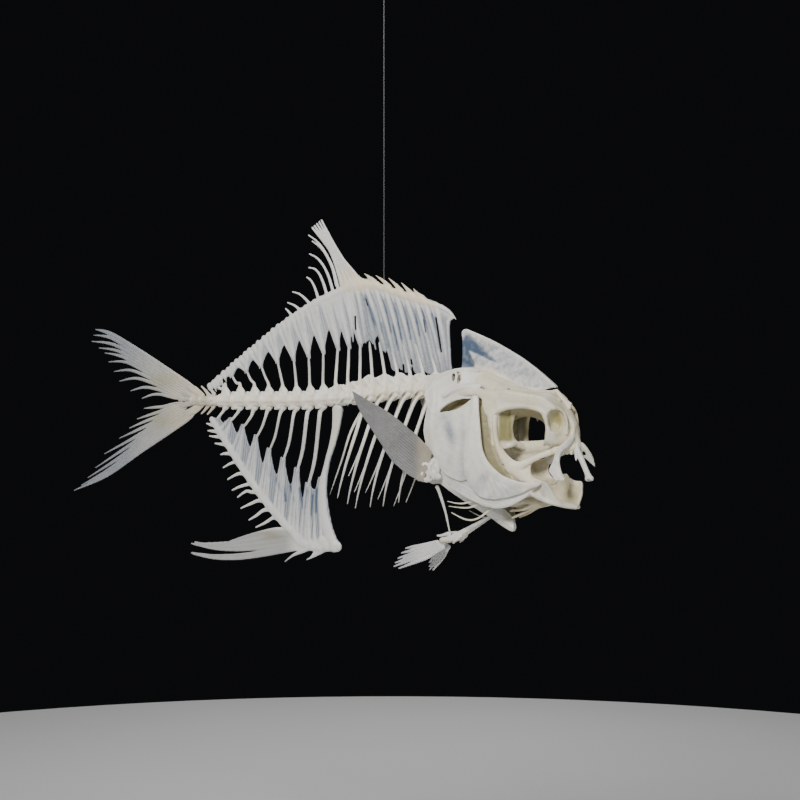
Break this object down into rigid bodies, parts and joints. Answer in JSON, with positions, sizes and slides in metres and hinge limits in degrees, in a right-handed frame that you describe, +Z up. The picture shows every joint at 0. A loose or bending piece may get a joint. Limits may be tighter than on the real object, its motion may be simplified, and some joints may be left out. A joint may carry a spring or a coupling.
{
  "type": "fish skeleton",
  "caption": "Life-size skeleton of a deep-bodied pompano, mouth open and fins spread, hung on one clear line from a small round ceiling plate.",
  "frame": {"origin": "centre of the ceiling plate's top face, which lies against the ceiling; the fish hangs below it", "axes": "+X towards the fish's snout, +Y towards the fish's left side, +Z up"},
  "size_m": [0.5145, 0.0982, 0.4688],
  "materials": {
    "bone": "dry cleaned bone, ivory white, faintly mottled",
    "blade_bone": "thin, slightly see-through bone, cool grey-white",
    "skull_bone": "waxy bone, cream to olive yellow in the hollows",
    "nylon": "clear nylon line",
    "steel": "satin steel"
  },
  "bodies": {
    "root": {"tail_vertebrae": "bone", "tail_base": "bone", "neural_arches": "bone", "rib_cage_right": "bone", "rib_cage_left": "bone", "opercle_right": "bone", "opercle_left": "bone", "preopercle_right": "bone", "preopercle_left": "bone", "subopercle_right": "bone", "subopercle_left": "bone", "maxilla_right": "bone", "maxilla_left": "bone", "premaxilla_right": "bone", "premaxilla_left": "bone", "mandible_right": "bone", "mandible_left": "bone", "shoulder_girdle_right": "bone", "shoulder_girdle_left": "bone", "postcleithrum_right": "bone", "postcleithrum_left": "bone", "pelvic_girdle": "bone", "dorsal_fin": "blade_bone", "anal_fin": "blade_bone", "caudal_fin_upper": "blade_bone", "caudal_fin_lower": "blade_bone", "pectoral_fin_right": "blade_bone", "pectoral_fin_left": "blade_bone", "pelvic_fin_right": "blade_bone", "pelvic_fin_left": "blade_bone", "supraoccipital_crest": "blade_bone", "neurocranium": "skull_bone", "suspensorium_right": "skull_bone", "suspensorium_left": "skull_bone", "hyoid_arch": "skull_bone", "hanging_line": "nylon", "hanger_plate": "steel", "hanger_eye": "steel"}
  },
  "joints": []
}
